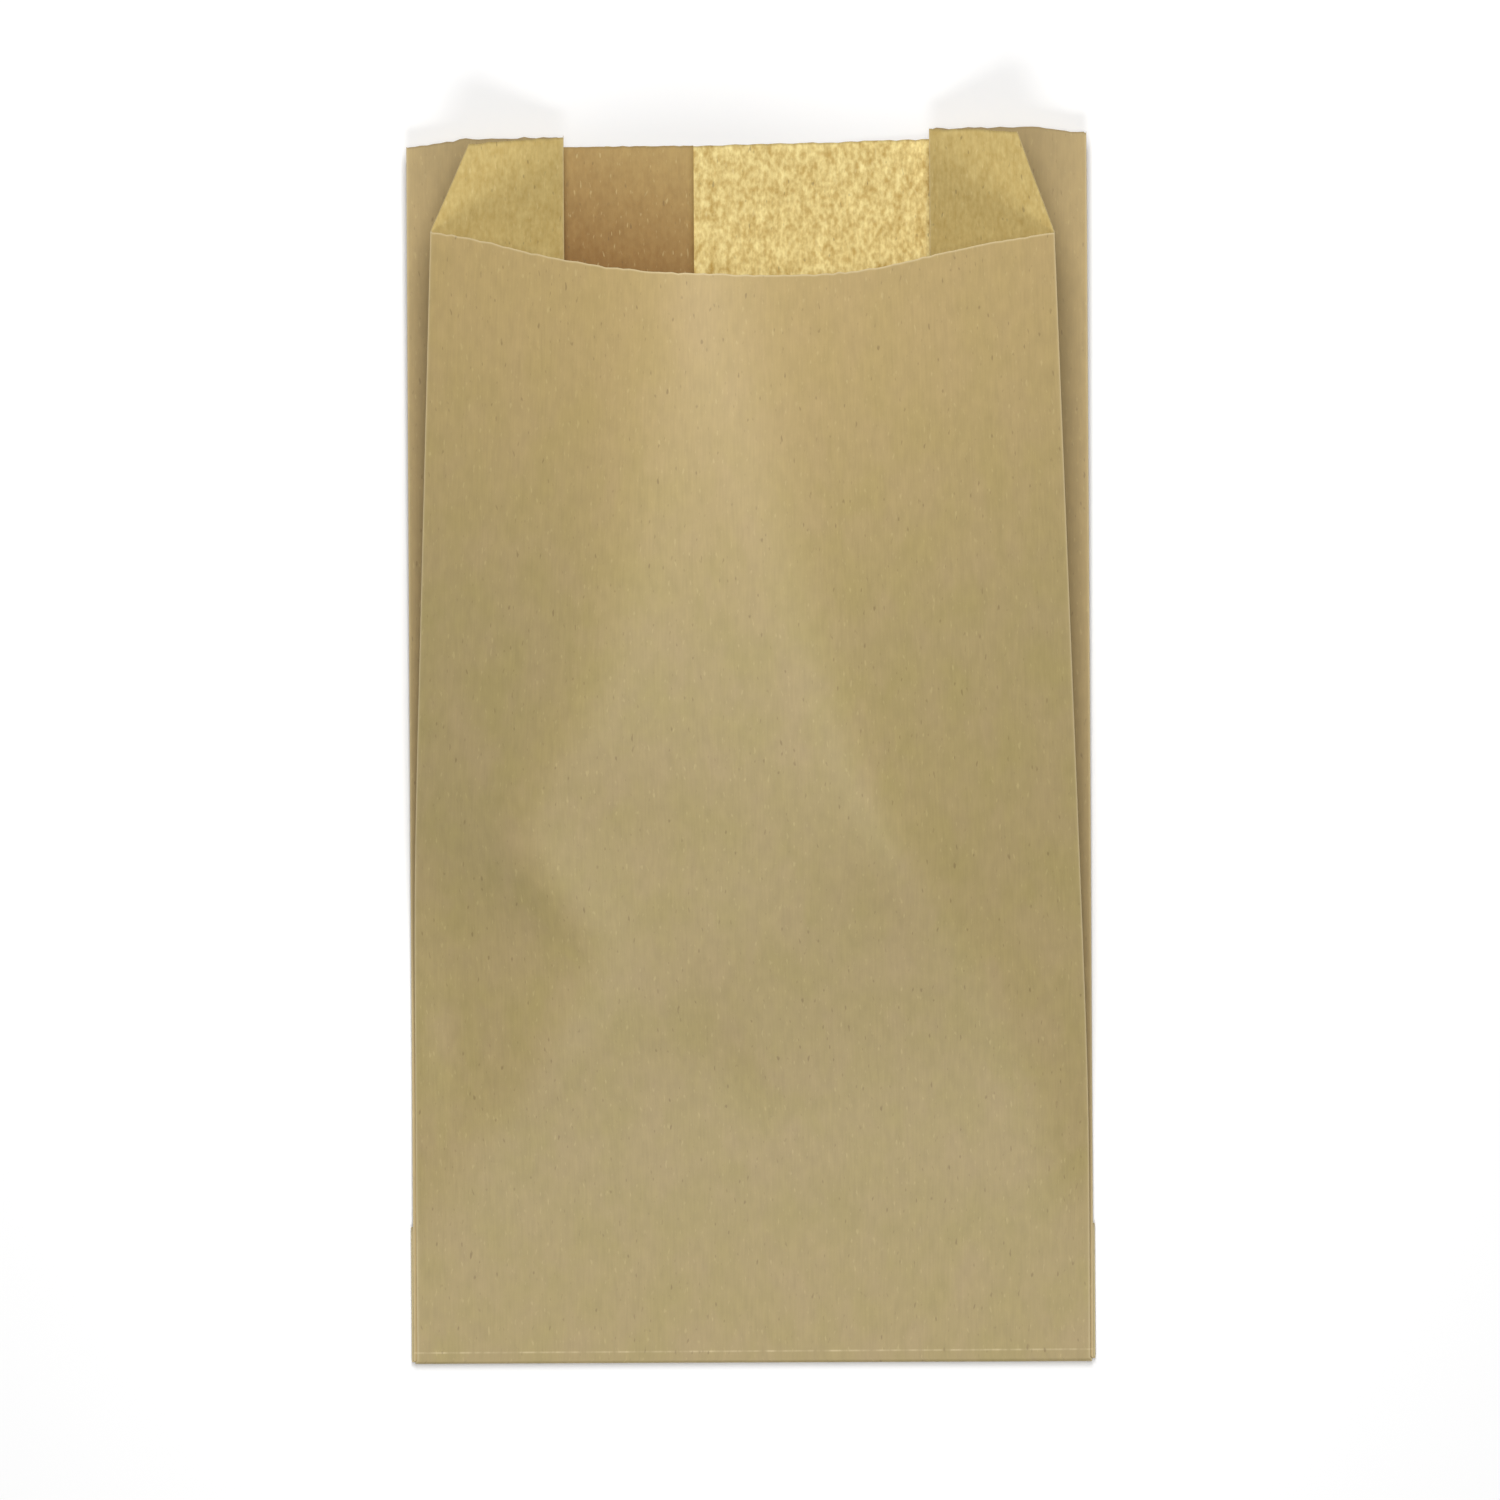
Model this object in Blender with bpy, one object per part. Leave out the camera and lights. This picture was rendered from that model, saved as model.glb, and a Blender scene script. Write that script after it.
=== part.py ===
"""Brown kraft paper lunch bag, gusseted, lying on its back with its mouth a little open.

Metres, +X across the bag, +Y from the bottom fold towards the mouth, +Z up out of the front panel.
The bag is one sheet: folded into a flat tube with a pleat (gusset) down each side, turned under and
glued at the bottom. It is built as one thin-walled body: a skin outside, a skin inside, joined round
the cut rim. The origin is the middle of its footprint, on the surface that it lies on.
"""

import math

import bmesh
import bpy
import numpy as np

# The folded sheet
bag_width = 0.180
bag_length = 0.3227          # back panel, bottom fold to mouth
gusset_depth = 0.0415        # one half of a side pleat
back_cut_skew = 0.0030       # back and pleats are longer on the right than on the left
back_cut_dip = 0.0012        # the back panel's cut is a little hollow
pleat_proud = 0.0019         # the pleats stand past the back panel
proud_run = 0.016            # over this much in from the side fold
front_cut_down = 0.0221      # how much lower the front panel is cut than the back panel
front_cut_skew = -0.0010
front_cut_sag = 0.0035       # the front cut is this much lower in the middle than at its ends
notch_run = 0.0112           # the cut climbs back to full length across this much of the pleat
flap_length = 0.036          # turned under and glued

# Stand-in paper, thicker than the real sheet so that it survives as a solid
wall = 0.00016
fold_radius = 0.00016        # centre line of a flat pleat fold
turn_gap = 0.00015           # bottom turn, centre of the bend below the back panel
pocket_start = 0.003         # the glued end is solid up to here
step_start = flap_length + 0.006    # past the flap the back panel comes down between these two
step_end = 0.085

# How far each pleat stands open at the mouth, and where it starts to open
left_lift = math.radians(31)
right_lift = math.radians(37)
pleat_rise = math.radians(4)
back_bow = math.radians(7)
left_start = 0.125
right_start = 0.070
back_start = 0.050
full_open = 0.300
start_softness = 0.012

# The front panel's two soft ridges, as shares of its width from the left, at stations up the bag
left_ridge = [(0.050, 0.06), (0.070, 0.14), (0.090, 0.24), (0.108, 0.30), (0.122, 0.27),
              (0.136, 0.18), (0.148, 0.17), (0.160, 0.25), (0.178, 0.31), (0.200, 0.35), (0.300, 0.38)]
right_ridge = [(0.050, 0.95), (0.075, 0.92), (0.100, 0.86), (0.130, 0.76), (0.160, 0.68),
               (0.220, 0.57), (0.300, 0.47)]
# How far it arches above the line between its side folds, at stations up the bag
arch_height = [(0.028, 0.0), (0.050, 0.003), (0.075, 0.0076), (0.100, 0.013), (0.130, 0.019),
               (0.160, 0.0245), (0.190, 0.028), (0.220, 0.0283), (0.250, 0.0268), (0.290, 0.0228),
               (0.330, 0.0195)]
# Half the width of the bend at each ridge, as a share of the front panel
ridge_softness = [(0.180, 0.06), (0.260, 0.11), (0.310, 0.17)]
table_rounding = 0.014       # how far each side of a station the tables are averaged

# Mesh density
back_steps, pleat_steps, fold_steps, front_steps, turn_steps = 5, 3, 4, 18, 5
even_rows = 0.200            # rows are level up to here, and follow the cut above it
stations = [0.0, 0.022, 0.044, 0.056, 0.068, 0.080, 0.092, 0.106, 0.120, 0.134, 0.148, 0.162,
            0.180, 0.200, 0.222, 0.246, 0.270, 0.297, bag_length]


def smooth_step(low, high, value):
    share = np.clip((value - low) / (high - low), 0.0, 1.0)
    return share * share * (3.0 - 2.0 * share)


def opening(start, power, station):
    """0 while the layers lie flat, 1 at full_open, with a soft start."""
    past = start_softness * math.log1p(math.exp((station - start) / start_softness))
    return (past / (full_open - start)) ** power


def walk(point, heading, moves):
    """Follow moves of (length, turn, steps) from a point, and list the points passed."""
    points = [point]
    for length, turn, steps in moves:
        for _ in range(steps):
            heading += turn / steps / 2
            point = point + length / steps * np.array([math.cos(heading), math.sin(heading)])
            heading += turn / steps / 2
            points.append(point)
    return np.array(points)


def side_walk(lift, station_opening, bow, end_slope):
    """Half of a section on the +X side: half the back panel, the pleat and its three folds."""
    rise = pleat_rise * station_opening
    lift = lift * station_opening
    straight = gusset_depth - fold_radius

    def fold(turn):
        return abs(turn) * fold_radius, turn, fold_steps

    return walk(np.zeros(2), 0.0, [
        (bag_width / 2 - fold_radius, bow, back_steps),
        fold(math.pi - rise - bow),
        (straight, 0.0, pleat_steps),
        fold(-(math.pi - rise - lift)),
        (straight, 0.0, pleat_steps),
        fold(math.pi - lift - end_slope),
    ])


def read_table(table, station):
    """Read a table of stations, with its corners rounded off."""
    places, values = zip(*table)
    return float(np.interp(station + np.linspace(-table_rounding, table_rounding, 9), places, values).mean())


def front_profile(station):
    """The arched front panel: shares of the way across, heights, and the two end slopes."""
    share = np.linspace(0.0, 1.0, front_steps + 1)
    ridges = [read_table(ridge, station) for ridge in (left_ridge, right_ridge)]
    soft = read_table(ridge_softness, station)
    slope = 1.0 - sum(smooth_step(at - soft, at + soft, share) for at in ridges)
    slope = (slope[1:] + slope[:-1]) / 2
    height = np.concatenate([[0.0], np.cumsum(slope - slope.mean())])
    height *= read_table(arch_height, station) / (height ** 6).mean() ** (1 / 6)
    rise = np.diff(height) * front_steps / bag_width
    along = np.concatenate([[0.0], np.cumsum(1 / np.sqrt(1 + rise ** 2))])
    return along / along[-1], height, math.atan(rise[0]), -math.atan(rise[-1])


def section(station):
    """Centre line of the closed section at a station, anticlockwise from the middle of the back."""
    bow = back_bow * opening(back_start, 1.0, station)
    share, height, left_slope, right_slope = front_profile(station)
    right = side_walk(right_lift, opening(right_start, 0.5, station), bow, right_slope)
    left = side_walk(left_lift, opening(left_start, 0.5, station), bow, left_slope) * (-1, 1)
    across = left[-1] - right[-1]
    share, height = 1.0 - share[::-1], height[::-1]
    upward = np.array([across[1], -across[0]]) / np.linalg.norm(across)
    front = right[-1] + share[:, None] * across + height[:, None] * upward
    return np.concatenate([right, front[1:-1], left[:0:-1]])


def cut_lengths():
    """How long the sheet is above each point of the section, from the flat bottom fold to the cut."""
    across = 2 * section(0.0)[:, 0] / bag_width
    count = len(across)
    index = np.arange(count)
    index = np.minimum(index, count - index)
    first = back_steps + fold_steps // 2
    inner = first + fold_steps + pleat_steps
    corner = inner + fold_steps + pleat_steps
    back = back_cut_skew * across / 2 + back_cut_dip * (across ** 2 - 1)
    from_edge = (1 - abs(across)) * bag_width / 2
    pleat = back_cut_skew * across / 2 + pleat_proud * smooth_step(0.0, proud_run, from_edge)
    front = front_cut_skew * across / 2 - front_cut_down - front_cut_sag * (1 - across ** 2)
    # the pleat's outer half runs down to the front panel in a straight notch
    low = front_cut_skew * np.sign(across) / 2 - front_cut_down
    high = back_cut_skew * across / 2 + pleat_proud
    outer = low + np.clip(from_edge / notch_run, 0.0, 1.0) * (high - low)
    pleat = np.where(index > inner, outer, pleat)
    return bag_length + np.where(index < first, back, np.where(index >= corner, front, pleat))


def lift_at(y):
    """The back panel lies over the flap, then comes down to the surface past it."""
    stack = 6 * fold_radius + wall
    return wall / 2 + (stack + 2 * turn_gap) * (1 - smooth_step(step_start, step_end, y))


def skins():
    """Rows of points for the outer and the inner skin, from the bottom turn up to the cut rim."""
    lengths = cut_lengths()
    centre_rows, normal_rows, station_rows = [], [], []
    for level in stations:
        above = max(level - even_rows, 0.0) / (bag_length - even_rows)
        row = np.where(above > 0, even_rows + above * (lengths - even_rows), level)
        sections = [section(station) for station in row]
        index = np.arange(len(row))
        centre = np.array([sections[j][j] for j in index])
        ahead = np.array([sections[j][(j + 1) % len(row)] for j in index])
        behind = np.array([sections[j][j - 1] for j in index])
        tangent = (ahead - behind) / np.linalg.norm(ahead - behind, axis=1)[:, None]
        centre_rows.append(centre)
        normal_rows.append(np.stack([tangent[:, 1], -tangent[:, 0]], axis=1))
        station_rows.append(row)
    centre, normal, station = map(np.array, (centre_rows, normal_rows, station_rows))

    # The sheet doesn't stretch, so where it climbs it reaches less far along Y
    climbed = np.diff(centre, axis=0)
    step = np.sqrt(np.maximum(np.diff(station, axis=0) ** 2 - (climbed ** 2).sum(axis=2), 1e-12))
    y = np.concatenate([np.zeros((1, step.shape[1])), np.cumsum(step, axis=0)])

    def skin(side):
        flat = centre + side * wall / 2 * normal
        return np.stack([flat[..., 0], y, flat[..., 1] + lift_at(y)], axis=2)

    return skin(1), skin(-1)


def turned_under(row):
    """The flat end carried round the bottom fold and on to the end of the flap."""
    below = row[:, 2] - lift_at(0.0) + wall / 2 + turn_gap
    rows = []
    for step in range(1, turn_steps + 1):
        angle = math.pi * step / turn_steps
        turned = row.copy()
        turned[:, 1] = -below * math.sin(angle)
        turned[:, 2] = row[:, 2] - below * (1 - math.cos(angle))
        rows.append(turned)
    for share in (0.5, 1.0):
        flap = rows[turn_steps - 1].copy()
        flap[:, 1] += share * flap_length
        rows.append(flap)
    return rows


def build_bag():
    outer, inner = skins()
    pocket = inner[0].copy()
    pocket[:, 1] = pocket_start
    rows = turned_under(outer[0])[::-1] + list(outer) + list(inner[::-1][:-1]) + [pocket]
    mesh = bmesh.new()
    rings = [[mesh.verts.new(point) for point in row] for row in rows]
    for lower, upper in zip(rings, rings[1:]):
        for j in range(len(lower)):
            k = (j + 1) % len(lower)
            mesh.faces.new((upper[j], upper[k], lower[k], lower[j]))
    mesh.faces.new(rings[0])
    mesh.faces.new(rings[-1][::-1])
    bmesh.ops.triangulate(mesh, faces=mesh.faces[:])

    low = np.array(rows).min(axis=(0, 1))
    high = np.array(rows).max(axis=(0, 1))
    middle = (low + high) / 2
    bmesh.ops.translate(mesh, verts=mesh.verts, vec=(-middle[0], -middle[1], -low[2]))

    data = bpy.data.meshes.new("paper_bag")
    mesh.to_mesh(data)
    mesh.free()
    data.shade_smooth()
    data.set_sharp_from_angle(angle=math.radians(35))
    bag = bpy.data.objects.new("paper_bag", data)
    bpy.context.collection.objects.link(bag)
    return bag


def kraft_paper():
    material = bpy.data.materials.new("kraft_paper")
    material.use_nodes = True
    shader = material.node_tree.nodes["Principled BSDF"]
    shader.inputs["Base Color"].default_value = (0.45, 0.34, 0.17, 1.0)
    shader.inputs["Roughness"].default_value = 0.6
    return material


def main():
    for item in list(bpy.data.objects):
        bpy.data.objects.remove(item)
    bag = build_bag()
    bag.data.materials.append(kraft_paper())


main()
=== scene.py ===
# Brown kraft paper lunch bag, lying on its back with its mouth a little open.
# The bag is made as it is in the factory: a flat web of paper, cut, then folded into a tube with a
# pleat down each side, lapped and pasted down the back, and turned under at the bottom.
import math

import bmesh
import bpy
import numpy as np
from mathutils import Matrix, Vector


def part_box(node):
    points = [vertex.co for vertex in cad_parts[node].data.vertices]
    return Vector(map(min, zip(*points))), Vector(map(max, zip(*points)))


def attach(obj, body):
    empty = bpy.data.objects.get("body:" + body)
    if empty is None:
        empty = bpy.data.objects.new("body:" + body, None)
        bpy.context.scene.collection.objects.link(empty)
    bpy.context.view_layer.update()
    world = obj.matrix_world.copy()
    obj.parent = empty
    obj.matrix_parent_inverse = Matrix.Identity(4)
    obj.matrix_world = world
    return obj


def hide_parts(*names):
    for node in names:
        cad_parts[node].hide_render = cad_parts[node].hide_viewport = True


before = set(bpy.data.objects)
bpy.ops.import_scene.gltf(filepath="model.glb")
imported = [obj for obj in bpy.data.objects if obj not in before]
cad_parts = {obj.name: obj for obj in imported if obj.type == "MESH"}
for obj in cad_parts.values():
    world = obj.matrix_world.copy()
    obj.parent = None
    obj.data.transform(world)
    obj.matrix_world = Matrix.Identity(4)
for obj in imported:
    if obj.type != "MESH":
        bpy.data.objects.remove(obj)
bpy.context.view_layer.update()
scene = bpy.context.scene

# All lengths in metres, in the bag's own directions: across (x), up the bag from the bottom fold (y).
bagSettings = {
    "width": 0.180,
    "length": 0.3227,
    "pleatDepth": 0.0415,
    "flap": 0.036,              # bottom end turned under
    "flapFlare": 0.0005,        # the flap sticks out this far at each side
    "seam": -0.0140,            # inner edge of the lap down the back panel
    "overlap": 0.040,
    "foldRadius": 0.00010,      # centre line of a flat fold
    "turnGap": 0.00010,
    "foldSlip": 0.0009,         # the front panel is this much narrower than the back at each side
    "leftLift": 31.0,           # degrees that each pleat stands open at the mouth
    "rightLift": 37.0,
    "pleatRise": 4.0,
    "backBow": 7.0,
    "leftStart": 0.125,         # where up the bag each part starts to open
    "rightStart": 0.070,
    "backStart": 0.050,
    "fullOpen": 0.300,
    "startSoftness": 0.012,
    "rounding": 0.014,          # tables are averaged this far each side of a station
    "flapStep": 0.004,          # past the flap the back panel comes down between here
    "flapStepEnd": 0.085,       # and here up the bag
}
# The front panel's two soft ridges, as shares of its width from the left, at stations up the bag
leftRidge = [
    (0.050, 0.06), (0.070, 0.14), (0.090, 0.24), (0.108, 0.30), (0.122, 0.27), (0.136, 0.18),
    (0.148, 0.15), (0.160, 0.21), (0.178, 0.26), (0.200, 0.30), (0.240, 0.34), (0.300, 0.38)]
rightRidge = [
    (0.050, 0.95), (0.075, 0.92), (0.100, 0.86), (0.130, 0.76), (0.160, 0.68),
    (0.220, 0.57), (0.300, 0.47)]
# How far the front panel arches above the line between its side folds, at stations up the bag
archHeight = [
    (0.028, 0.0), (0.050, 0.0030), (0.075, 0.0076), (0.100, 0.0130), (0.130, 0.0190),
    (0.160, 0.0245), (0.190, 0.0280), (0.220, 0.0283), (0.250, 0.0268), (0.290, 0.0228), (0.330, 0.0195)]
# The ridges are softer near the mouth: half the width of each bend, at stations up the bag
ridgeSoftness = [(0.180, 0.06), (0.260, 0.11), (0.310, 0.17)]
# Soft creases: place across and up the bag, direction in which the sheet climbs (degrees),
# how much, over what length, and how far the crease runs to each side
creases = [
    (-0.022, 0.116, 10.0, 0.0010, 0.018, 0.016),
    (-0.066, 0.084, 15.0, 0.0011, 0.014, 0.020),
    (-0.001, 0.078, 20.0, 0.0006, 0.008, 0.009),
    (0.024, 0.040, 30.0, 0.0004, 0.007, 0.010),
]

cutSettings = {
    "backSkew": 0.0030,         # back and pleats cut longer on the right than on the left
    "frontSkew": -0.0010,
    "backDip": 0.0012,          # the back panel's cut is a little hollow
    "pleatProud": 0.0019,       # pleats stand past the back panel
    "proudRun": 0.016,          # over this much in from the side fold
    "frontDown": 0.0221,        # front panel cut lower, so that the mouth has a lip
    "frontSag": 0.0035,
    "notchRun": 0.0112,
    "nibble": 0.00012,          # unevenness left by the toothed knife
    "levelUpTo": 0.200,         # rows follow the cut above this
}
meshSettings = {
    "columnGap": 0.0017, "rowGap": 0.0034, "paper": 0.00011, "stations": 170,
    "lapStep": 0.0015,          # the upper ply of the lap rises over this much
    "flapTurnIn": 0.0004,       # and the flap reaches its full width over this much
}


def smoothStep(low, high, value):
    share = np.clip((value - low) / (high - low), 0.0, 1.0)
    return share * share * (3.0 - 2.0 * share)


def readTable(table, station):
    # read a table of stations, with its corners rounded off
    places, values = zip(*table)
    reach = bagSettings["rounding"]
    return float(np.interp(station + np.linspace(-reach, reach, 9), places, values).mean())


def opening(start, power, station):
    softness = bagSettings["startSoftness"]
    past = softness * math.log1p(math.exp((station - start) / softness))
    return (past / (bagSettings["fullOpen"] - start)) ** power


def walk(heading, moves):
    # each move is (length, turn, steps); turtle style
    point, points = np.zeros(2), [np.zeros(2)]
    for length, turn, steps in moves:
        for _ in range(steps):
            heading += turn / steps / 2
            point = point + length / steps * np.array([math.cos(heading), math.sin(heading)])
            heading += turn / steps / 2
            points.append(point)
    return np.array(points)


steps = {"back": 30, "fold": 6, "pleat": 12, "front": 100}


def sideMoves(lift, rise, bow, endSlope, slip):
    b = bagSettings
    straight = b["pleatDepth"] - b["foldRadius"]

    def fold(turn):
        return abs(turn) * b["foldRadius"], turn, steps["fold"]

    return [
        (b["width"] / 2 - b["foldRadius"], bow, steps["back"]),
        fold(math.pi - rise - bow),
        (straight, 0.0, steps["pleat"]),
        fold(-(math.pi - rise - lift)),
        (straight - slip, 0.0, steps["pleat"]),
        fold(math.pi - lift - endSlope),
    ]


def frontProfile(station):
    # two flanks and the slope between the ridges, as shares across, heights and the end slopes
    share = np.linspace(0.0, 1.0, steps["front"] + 1)
    soft = readTable(ridgeSoftness, station)
    ridges = [readTable(ridge, station) for ridge in (leftRidge, rightRidge)]
    slope = 1.0 - sum(smoothStep(at - soft, at + soft, share) for at in ridges)
    middle = (slope[1:] + slope[:-1]) / 2
    height = np.concatenate([[0.0], np.cumsum(middle - middle.mean())])
    height *= readTable(archHeight, station) / (height ** 6).mean() ** (1 / 6)
    rise = np.diff(height) / (frontWidth / steps["front"])
    along = np.concatenate([[0.0], np.cumsum(1 / np.sqrt(1 + rise ** 2))])
    return along / along[-1], height, math.atan(rise[0]), -math.atan(rise[-1])


def section(station):
    # closed centre line, anticlockwise from the middle of the back panel
    b = bagSettings
    bow = math.radians(b["backBow"]) * opening(b["backStart"], 1.0, station)
    share, height, *slopes = frontProfile(station)
    sides = []
    for name, slope in (("left", slopes[0]), ("right", slopes[1])):
        opened = opening(b[name + "Start"], 0.5, station)
        lift = math.radians(b[name + "Lift"]) * opened
        rise = math.radians(b["pleatRise"]) * opened
        sides.append(walk(0.0, sideMoves(lift, rise, bow, slope, b["foldSlip"])))
    left, right = sides[0] * (-1, 1), sides[1]
    across = left[-1] - right[-1]
    share, height = 1.0 - share[::-1], height[::-1]
    upward = np.array([across[1], -across[0]]) / np.linalg.norm(across)
    front = right[-1] + share[:, None] * across + height[:, None] * upward
    return right, front, left


def webPlaces():
    # distance round the web of each point of a section, measured on the flat tube
    b = bagSettings
    side = np.concatenate([[0.0]] + [
        np.full(count, length / count)
        for length, _, count in sideMoves(0.0, 0.0, 0.0, 0.0, b["foldSlip"])
    ]).cumsum()
    full = b["width"] - 2 * b["foldRadius"] - 2 * b["foldSlip"]
    return side, full


sidePlaces, frontWidth = webPlaces()
webGirth = 2 * sidePlaces[-1] + frontWidth
webStart = bagSettings["seam"] - bagSettings["overlap"]
webEnd = webGirth + bagSettings["seam"]
foldCount = steps["fold"]
backEnd = steps["back"] + foldCount // 2
pleatEnd = backEnd + foldCount + steps["pleat"]
frontStart = pleatEnd + foldCount + steps["pleat"]
foldPlaces = [sidePlaces[i] for i in (backEnd, pleatEnd, frontStart)]
foldPlaces += [webGirth - place for place in foldPlaces]


def sectionAt(station, places):
    # points of the section at the given distances round the web, with the lap's two layers apart
    right, front, left = section(station)
    line = np.concatenate([right, front[1:-1], left[::-1]])
    frontPlaces = np.linspace(0, frontWidth, steps["front"] + 1)[1:-1] + sidePlaces[-1]
    at = np.concatenate([sidePlaces, frontPlaces, webGirth - sidePlaces[::-1]])
    under = places < 0
    wrapped = np.where(under, places + webGirth, places)
    x = np.interp(wrapped, at, line[:, 0])
    z = np.interp(wrapped, at, line[:, 1])
    gap = 2 * bagSettings["foldRadius"]
    lap = webStart + webGirth
    z += np.where(under, 0.0, gap * smoothStep(lap - meshSettings["lapStep"], lap, places))
    return x, z


def cutLength(places):
    # how far up the web reaches at each place round it
    b, c = bagSettings, cutSettings
    x, _ = sectionAt(0.0, places)
    across = x / (b["width"] / 2)
    side = np.minimum(np.abs(places), np.abs(webGirth - places))
    first, inner, corner = foldPlaces[:3]
    back = c["backSkew"] * across / 2 + c["backDip"] * (across ** 2 - 1)
    pleat = c["backSkew"] * across / 2 + c["pleatProud"] * smoothStep(first, first + c["proudRun"], side)
    front = c["frontSkew"] * across / 2 - c["frontDown"] - c["frontSag"] * (1 - across ** 2)
    # the pleat's outer half runs down to the front panel in a straight notch
    cornerHeight = c["frontSkew"] * np.sign(across) / 2 - c["frontDown"]
    notch = np.clip((corner - side) / c["notchRun"], 0, 1)
    pleat = np.where(side > inner, cornerHeight + notch * (pleat - cornerHeight), pleat)
    length = b["length"] + np.where(side < first, back, np.where(side > corner, front, pleat))
    random = np.random.default_rng(11)
    return length + c["nibble"] * random.normal(size=len(places))


def liftAt(y):
    # the back panel lies over the flap, then comes down to the table past it
    b = bagSettings
    stack = 7 * b["foldRadius"] + meshSettings["paper"]
    down = 1 - smoothStep(b["flap"] + b["flapStep"], b["flapStepEnd"], y)
    return meshSettings["paper"] / 2 + (stack + 2 * b["turnGap"]) * down


def flatWeb():
    # v runs up the bag: the flap's end at -flap, the bottom fold at 0, the mouth at length
    b, m = bagSettings, meshSettings
    width, height = webEnd - webStart, b["length"] + b["flap"]
    web = bmesh.new()
    bmesh.ops.create_grid(
        web, x_segments=round(width / m["columnGap"]), y_segments=round(height / m["rowGap"]), size=0.5)
    bmesh.ops.scale(web, verts=web.verts, vec=(width, height, 1.0))
    bmesh.ops.translate(
        web, verts=web.verts, vec=((webStart + webEnd) / 2, b["length"] / 2 - b["flap"] / 2, 0.0))

    def crease(place, axis):
        point = [0.0, 0.0, 0.0]
        point[axis] = place
        normal = [0.0, 0.0, 0.0]
        normal[axis] = 1.0
        geometry = web.verts[:] + web.edges[:] + web.faces[:]
        bmesh.ops.bisect_plane(web, geom=geometry, dist=1e-6, plane_co=point, plane_no=normal)

    radius = b["foldRadius"]
    for place in foldPlaces:
        for share in (-3.0, -1.0, -0.5, 0.0, 0.5, 1.0, 3.0):
            crease(place + share * radius * math.pi / 2, 0)
        for away in (-0.0007, 0.0007):
            crease(place + away, 0)
    notch = foldPlaces[2] - cutSettings["notchRun"]
    lap = webStart + webGirth
    for place in (notch, webGirth - notch, lap, lap - m["lapStep"]):
        crease(place, 0)
    for below in (-0.0007, 0.0, 0.0001, 0.0002, 0.0004, 0.0007, 0.0011, 0.0016, 0.0023):
        crease(-below, 1)
    for down in (0.0003, 0.0007, 0.0012):
        crease(b["length"] - down, 1)
    return web


def foldWeb(web):
    b, m = bagSettings, meshSettings
    flat = np.array([vert.co[:2] for vert in web.verts])
    places, column = np.unique(np.round(flat[:, 0], 7), return_inverse=True)
    tops = cutLength(places)
    level = cutSettings["levelUpTo"]
    above = np.maximum(flat[:, 1] - level, 0.0) / (b["length"] - level)
    v = np.where(above > 0, level + above * (tops[column] - level), flat[:, 1])

    # the sheet doesn't stretch, so where it climbs it reaches less far along y
    stations = np.linspace(0.0, tops.max() + 0.001, m["stations"])
    lattice = np.array([sectionAt(station, places) for station in stations])
    run = np.diff(stations)[:, None] ** 2 - (np.diff(lattice, axis=0) ** 2).sum(axis=1)
    reach = np.cumsum(np.sqrt(np.maximum(run, 1e-12)), axis=0)
    reach = np.concatenate([np.zeros((1, len(places))), reach])

    spot = np.clip(v, 0.0, None) / (stations[1] - stations[0])
    low = np.minimum(spot.astype(int), len(stations) - 2)
    part = spot - low

    def read(table):
        return table[low, column] * (1 - part) + table[low + 1, column] * part

    x, z, y = read(lattice[:, 0]), read(lattice[:, 1]), read(reach)
    z = z + relief(x, y, places[column]) + liftAt(y)

    # bottom turn: each layer goes round its own radius
    behind = np.maximum(-v, 0.0)
    radius = lattice[0, 1][column] + b["turnGap"] + meshSettings["paper"] / 2
    angle = np.minimum(behind / radius, math.pi)
    past = np.maximum(behind - math.pi * radius, 0.0)
    turned = behind > 0
    y = np.where(turned, past - radius * np.sin(angle), y)
    z = np.where(turned, z - radius * (1 - np.cos(angle)), z)
    flare = b["flapFlare"] * smoothStep(0.0, m["flapTurnIn"], behind)
    x = x + np.where(turned, np.sign(x) * flare, 0.0)
    return np.stack([x, y, z], axis=1), places[column], v, tops[column]


def relief(x, y, places):
    # dents and soft creases in the front panel, dying out at its side folds
    across = (places - sidePlaces[-1]) / frontWidth
    fade = smoothStep(0.0, 0.06, across) * smoothStep(0.0, 0.06, 1 - across)
    height = np.zeros_like(x)
    for middleX, middleY, direction, climb, run, span in creases:
        turn = math.radians(direction)
        ahead = ((x - middleX) * math.cos(turn) + (y - middleY) * math.sin(turn)) / run
        aside = ((middleX - x) * math.sin(turn) + (y - middleY) * math.cos(turn)) / span
        height += climb * ahead * np.exp(0.5 - 0.5 * ahead ** 2 - 0.5 * aside ** 2)
    return height * fade


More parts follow.
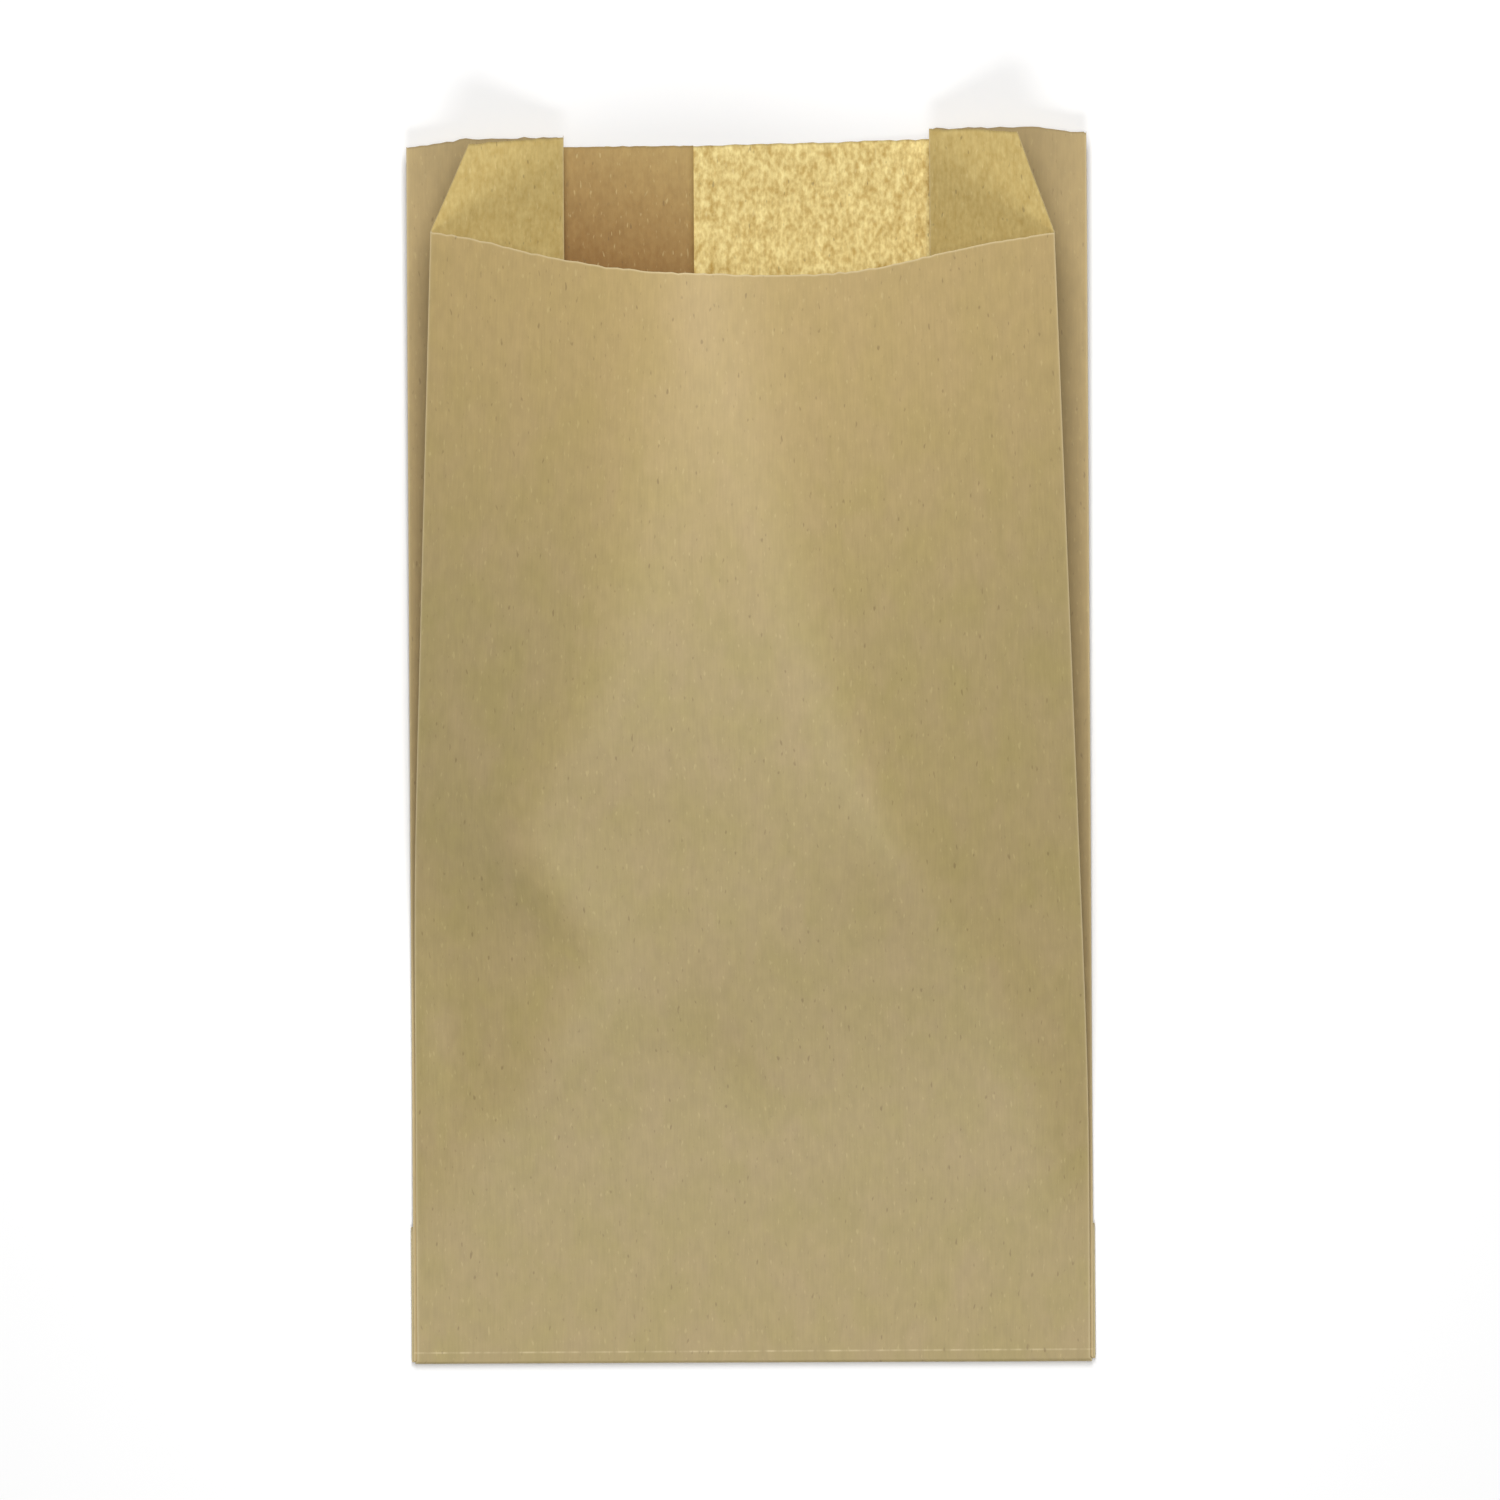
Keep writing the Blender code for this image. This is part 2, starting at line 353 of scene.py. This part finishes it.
def makeBag():
    web = flatWeb()
    points, u, v, top = foldWeb(web)
    uv = web.loops.layers.uv.new("flatWeb")
    for vert, point, across, along in zip(web.verts, points, u, v):
        vert.co = point
        for loop in vert.link_loops:
            loop[uv].uv = (across, along)
    # pale band along each fold: wear, and a painted highlight where the rounded fold catches the light
    wearAndGlint = np.min([np.abs(u - place) for place in foldPlaces], axis=0)
    wearAndGlint = np.exp(-(wearAndGlint / 0.0004) ** 2)
    onBack = np.minimum(np.abs(u), np.abs(webGirth - u))
    inPleat = (onBack > foldPlaces[0]) & (onBack < foldPlaces[2])
    onFront = onBack >= foldPlaces[2]
    # along the cut top: pale cut fibres on the front's lip, a painted shade line on the back and pleats
    edge = 1 - smoothStep(0.0, 0.0006, top - v)
    bmesh.ops.reverse_faces(web, faces=web.faces)
    mesh = bpy.data.meshes.new("kraftBag")
    web.to_mesh(mesh)
    web.free()
    for name, values in (
            ("foldWearAndGlint", wearAndGlint), ("lipEdge", edge * onFront), ("backEdgeShade", edge * ~onFront),
            ("onBack", onBack < foldPlaces[0]), ("inPleat", inPleat)):
        layer = mesh.attributes.new(name, "FLOAT", "POINT")
        layer.data.foreach_set("value", values.astype(np.float32))
    mesh.shade_smooth()
    mesh.set_sharp_from_angle(angle=math.radians(50))
    bag = bpy.data.objects.new("kraftBag", mesh)
    scene.collection.objects.link(bag)
    return bag


def colour(code):
    # sRGB hex to linear
    parts = [int(code[i:i + 2], 16) / 255 for i in (1, 3, 5)]
    return tuple([p / 12.92 if p <= 0.04045 else ((p + 0.055) / 1.055) ** 2.4 for p in parts] + [1.0])


def addNode(tree, kind, inputs=None, **settings):
    node = tree.nodes.new(kind)
    for name, value in settings.items():
        setattr(node, name, value)
    for name, value in (inputs or {}).items():
        if isinstance(value, bpy.types.NodeSocket):
            tree.links.new(value, node.inputs[name])
        else:
            node.inputs[name].default_value = value
    return node


def newMaterial(name):
    material = bpy.data.materials.new(name)
    material.use_nodes = True
    tree = material.node_tree
    return material, tree, tree.nodes["Principled BSDF"]


paperSettings = {
    "outsideTan": "#a69366", "outsideOlive": "#a39260", "outsideRose": "#a9946c",
    # the pleats' outer tone is painted shade and bounced light; the mouth tone is painted light
    "pleatShadeTone": "#aa9362", "mouthLitTone": "#b69b66",
    "pleatLight": "#cdb777", "pleatDeep": "#bba05d",
    # painted light: the single-ply back panel's glow, as if lit through from the table
    "backGlowPale": "#ffeca4", "backGlowDeep": "#c19d4c",
    # painted shade: the lap's deepest tone, where it lies in shade
    "plyPale": "#bd9f64", "plyShade": "#96703a",
    "speck": "#6f5a3a", "paleFibre": "#e2cf96", "cut": "#e0cfa4", "cutDeep": "#cdb988",
    # painted shade line along the cut top of the back and pleats
    "edgeShadow": "#7d6a3c",
    "floc": 0.0026,             # clumps of fibre in the sheet
    "drift": 0.0130,            # slow change of tint
    "grain": 0.0011,            # fine spots of the rough face
    "fibre": 0.00055,           # real fibres are 0.03 mm wide, drawn coarser so that they show
    "fleck": 0.0011,
    "bottomGlintAt": 0.0021,         # painted highlight line above the bottom fold, and half its width
    "bottomGlintHalf": 0.00022,
}


def paperPattern(tree):
    # formation of unbleached kraft: clumps, fibres and shive specks, all drawn out up the bag
    web = addNode(tree, "ShaderNodeUVMap", uv_map="flatWeb").outputs["UV"]

    def noise(size, drawnOut, detail=2.0, offset=0.0):
        place = addNode(tree, "ShaderNodeMapping", {
            "Vector": web, "Location": (offset, offset, 0.0), "Scale": (1.0, 1.0 / drawnOut, 1.0)})
        return addNode(tree, "ShaderNodeTexNoise", {
            "Vector": place.outputs["Vector"], "Scale": 1.0 / size, "Detail": detail}).outputs["Fac"]

    def band(value, low, high, bottom=0.0, top=1.0):
        return addNode(tree, "ShaderNodeMapRange", {
            "Value": value, "From Min": low, "From Max": high, "To Min": bottom, "To Max": top}
        ).outputs["Result"]

    p = paperSettings
    return {
        "band": band,
        "web": web,
        "floc": band(noise(p["floc"], 2.0, 2.5), 0.3, 0.7),
        "drift": band(noise(p["drift"], 1.4, 2.0, 3.1), 0.35, 0.65),
        "rose": band(noise(p["drift"] * 0.7, 1.8, 2.0, 7.7), 0.5, 0.68),
        "fibre": band(noise(p["fibre"], 14.0, 2.0, 1.3), 0.3, 0.7),
        "grain": band(noise(p["grain"], 1.7, 3.0, 4.4), 0.36, 0.64),
        "speck": band(noise(p["fleck"], 2.6, 1.0, 5.9), 0.69, 0.78),
        "paleFibre": band(noise(p["fleck"] * 0.8, 3.0, 1.0, 9.2), 0.66, 0.76),
    }


def mixColour(tree, share, first, second, blend="MIX"):
    mix = addNode(tree, "ShaderNodeMix", data_type="RGBA", blend_type=blend)
    for socket, value in ((mix.inputs[0], share), (mix.inputs[6], first), (mix.inputs[7], second)):
        if isinstance(value, bpy.types.NodeSocket):
            tree.links.new(value, socket)
        else:
            socket.default_value = value
    return mix.outputs[2]


def scaled(tree, value, factor):
    return addNode(tree, "ShaderNodeMath", {0: value, 1: factor}, operation="MULTIPLY").outputs[0]


def finishPaper(tree, shader, pattern, base, flocDepth, fibreDepth, paleShare):
    # what both faces share: clumps, fibres, specks, pale cut edges, folds painted pale for wear and for
    # the highlight on their rounded turn, and a painted shade line along the cut top of the back and
    # pleats
    p = paperSettings
    dark = addNode(tree, "ShaderNodeMapRange", {
        "Value": pattern["floc"], "To Min": 1.0 - flocDepth, "To Max": 1.0 + flocDepth}).outputs["Result"]
    streak = addNode(tree, "ShaderNodeMapRange", {
        "Value": pattern["fibre"], "To Min": 1.0 - fibreDepth, "To Max": 1.0 + fibreDepth}
    ).outputs["Result"]
    both = addNode(tree, "ShaderNodeMath", {0: dark, 1: streak}, operation="MULTIPLY").outputs[0]
    toned = addNode(tree, "ShaderNodeVectorMath", {0: base, "Scale": both}, operation="SCALE").outputs[0]
    toned = mixColour(tree, scaled(tree, pattern["speck"], 0.45), toned, colour(p["speck"]))
    toned = mixColour(tree, scaled(tree, pattern["paleFibre"], paleShare), toned, colour(p["paleFibre"]))
    # pale along the folds for wear and painted highlight, pale cut fibres along the front's lip, painted
    # shade along the back and pleats' cut top
    for name, share, tint in (
            ("foldWearAndGlint", 0.50, "cut"), ("lipEdge", 0.60, "cut"), ("backEdgeShade", 0.55, "edgeShadow")):
        edgeMark = addNode(tree, "ShaderNodeAttribute", attribute_name=name).outputs["Fac"]
        toned = mixColour(tree, scaled(tree, edgeMark, share), toned, colour(p[tint]))
    tree.links.new(toned, shader.inputs["Base Color"])
    height = addNode(tree, "ShaderNodeMath", {
        0: pattern["fibre"], 1: 0.5, 2: pattern["floc"]}, operation="MULTIPLY_ADD").outputs[0]
    bump = addNode(tree, "ShaderNodeBump", {"Height": height, "Strength": 0.35, "Distance": 0.00004})
    tree.links.new(bump.outputs["Normal"], shader.inputs["Normal"])


def kraftOutside():
    # machine-glazed kraft: pressed on a polished cylinder, so this face has a broad soft sheen
    material, tree, shader = newMaterial("glazedKraft")
    pattern = paperPattern(tree)
    p = paperSettings
    base = mixColour(tree, pattern["drift"], colour(p["outsideTan"]), colour(p["outsideOlive"]))
    base = mixColour(tree, scaled(tree, pattern["rose"], 0.4), base, colour(p["outsideRose"]))
    # painted light: warmer and paler towards the mouth, where the light falls most strongly
    along = addNode(tree, "ShaderNodeSeparateXYZ", {"Vector": pattern["web"]}).outputs["Y"]
    mouthLit = pattern["band"](along, 0.200, 0.310, 0.0, 0.75)
    base = mixColour(tree, mouthLit, base, colour(p["mouthLitTone"]))
    # painted shade: the pleats' outer faces lie in shade and in light bounced between them, so they are
    # painted browner
    inPleat = addNode(tree, "ShaderNodeAttribute", attribute_name="inPleat").outputs["Fac"]
    base = mixColour(tree, inPleat, base, colour(p["pleatShadeTone"]))
    # painted highlight: a pale line runs just above the bottom fold, where its rounded turn catches the
    # light
    away = addNode(tree, "ShaderNodeMath", {
        0: along, 1: p["bottomGlintAt"], 2: p["bottomGlintHalf"]}, operation="COMPARE").outputs[0]
    line = addNode(tree, "ShaderNodeMath", {0: away, 1: pattern["floc"]}, operation="MULTIPLY").outputs[0]
    base = mixColour(tree, scaled(tree, line, 0.4), base, colour(p["cut"]))
    finishPaper(tree, shader, pattern, base, 0.045, 0.035, 0.16)
    shader.inputs["Roughness"].default_value = 0.55
    return material


def kraftInside():
    # rough face: matt and more golden. Where the bag is one ply thick, the light of the pale table
    # shining through it is painted in as a golden glow and its formation shows; the pasted lap is two
    # plies thick and darker
    material, tree, shader = newMaterial("roughKraft")
    pattern = paperPattern(tree)
    p = paperSettings
    halfFloc = scaled(tree, pattern["floc"], 0.5)
    spots = addNode(tree, "ShaderNodeMath", {
        0: pattern["grain"], 1: 0.5, 2: halfFloc}, operation="MULTIPLY_ADD").outputs[0]
    pleat = mixColour(tree, spots, colour(p["pleatDeep"]), colour(p["pleatLight"]))
    # painted light: the single-ply back panel is painted bright, as if the table lit it through
    back = mixColour(tree, spots, colour(p["backGlowDeep"]), colour(p["backGlowPale"]))
    onBack = addNode(tree, "ShaderNodeAttribute", attribute_name="onBack").outputs["Fac"]
    base = mixColour(tree, onBack, pleat, back)
    place = addNode(tree, "ShaderNodeSeparateXYZ", {"Vector": pattern["web"]})
    across, along = place.outputs["X"], place.outputs["Y"]
    lap = pattern["band"](across, webStart + webGirth - 0.0008, webStart + webGirth + 0.0004)
    # painted shade: the pasted plies are painted deeper in tone further in, under the front panel's lip,
    # and towards the pleat, whose fold shades them
    lean = 0.30
    shadeRamp = addNode(tree, "ShaderNodeMath", {
        0: spots, 1: 0.010, 2: along}, operation="MULTIPLY_ADD").outputs[0]
    shadeRamp = addNode(tree, "ShaderNodeMath", {
        0: across, 1: lean, 2: shadeRamp}, operation="MULTIPLY_ADD").outputs[0]
    nearSeam = lean * (webEnd - 0.020)
    unshaded = pattern["band"](shadeRamp, 0.293 + nearSeam, 0.331 + nearSeam)
    ply = mixColour(tree, unshaded, colour(p["plyShade"]), colour(p["plyPale"]))
    base = mixColour(tree, lap, base, ply)
    finishPaper(tree, shader, pattern, base, 0.03, 0.03, 0.35)
    shader.inputs["Roughness"].default_value = 0.75
    return material


def cutPaper():
    # the torn fibres of a knife-cut edge, paler than either face
    material, tree, shader = newMaterial("cutPaper")
    pattern = paperPattern(tree)
    p = paperSettings
    base = mixColour(tree, pattern["floc"], colour(p["cut"]), colour(p["cutDeep"]))
    tree.links.new(base, shader.inputs["Base Color"])
    shader.inputs["Roughness"].default_value = 0.9
    return material


bag = makeBag()
for material in (kraftOutside(), kraftInside(), cutPaper()):
    bag.data.materials.append(material)

# settle it on the frame's own footprint
points = np.array([vert.co for vert in bag.data.vertices])
half = meshSettings["paper"] / 2
middle = (points.min(axis=0) + points.max(axis=0)) / 2
low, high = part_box("paper_bag")
bag.data.transform(Matrix.Translation(
    ((low[0] + high[0]) / 2 - middle[0], (low[1] + high[1]) / 2 - middle[1],
     low[2] + half - points[:, 2].min())))
solid = bag.modifiers.new("paper", "SOLIDIFY")
solid.thickness = meshSettings["paper"]
solid.offset = 0.0
solid.material_offset = 1
solid.material_offset_rim = 2
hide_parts("paper_bag")
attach(bag, "root")
print("bag folded:", len(bag.data.polygons), "faces")

# the camera stands over the bag, a little towards the mouth, which is at the top of its picture
viewSettings = {"distance": 4.5, "tilt": 2.0, "turn": 0.35, "across": 0.397, "target": (0.0, -0.001, 0.0)}


def makeCamera():
    s = viewSettings
    data = bpy.data.cameras.new("camera")
    data.sensor_width = 36.0
    data.lens = 36.0 * s["distance"] / s["across"]
    camera = bpy.data.objects.new("camera", data)
    tilt = math.radians(s["tilt"])
    turn = math.radians(s["turn"])
    target = Vector(s["target"])
    away = Vector((0.0, math.sin(tilt), math.cos(tilt)))
    camera.matrix_world = (
        Matrix.Translation(target + away * s["distance"])
        @ Matrix.Rotation(-tilt, 4, "X")
        @ Matrix.Rotation(-turn, 4, "Z"))
    data.clip_end = 20
    scene.collection.objects.link(camera)
    scene.camera = camera


def makeFloor():
    floorMesh = bmesh.new()
    bmesh.ops.create_grid(floorMesh, x_segments=1, y_segments=1, size=6.0)
    bmesh.ops.translate(floorMesh, verts=floorMesh.verts, vec=(0, 0, low[2] - 0.0002))
    mesh = bpy.data.meshes.new("floor")
    floorMesh.to_mesh(mesh)
    floorMesh.free()
    floor = bpy.data.objects.new("floor", mesh)
    scene.collection.objects.link(floor)
    material, tree, shader = newMaterial("paleFloor")
    shader.inputs["Base Color"].default_value = colour("#fafafa")
    shader.inputs["Roughness"].default_value = 0.9
    mesh.materials.append(material)


lightSettings = {
    "fill": 0.12,
    # soft boxes: place, width and height, watts
    "boxes": [
        ("overMouth", (0.0, 0.25, 1.2), (0.45, 0.45), 4.2),
        ("pastMouth", (0.0, 0.60, 0.9), (0.45, 0.45), 6.3),
        ("pastBottom", (0.0, -0.70, 1.0), (0.45, 0.45), 6.0),
    ],
}


def makeLights():
    world = bpy.data.worlds.new("studio")
    world.use_nodes = True
    background = world.node_tree.nodes["Background"]
    background.inputs["Color"].default_value = (1, 1, 1, 1)
    background.inputs["Strength"].default_value = lightSettings["fill"]
    scene.world = world
    for name, place, size, watts in lightSettings["boxes"]:
        data = bpy.data.lights.new(name, "AREA")
        data.shape = "RECTANGLE"
        data.size, data.size_y = size
        data.energy = watts
        light = bpy.data.objects.new(name, data)
        light.location = place
        light.rotation_euler = (-Vector(place)).to_track_quat("-Z", "Y").to_euler()
        scene.collection.objects.link(light)


makeCamera()
makeFloor()
makeLights()
scene.view_settings.view_transform = "Standard"
print("scene lit")
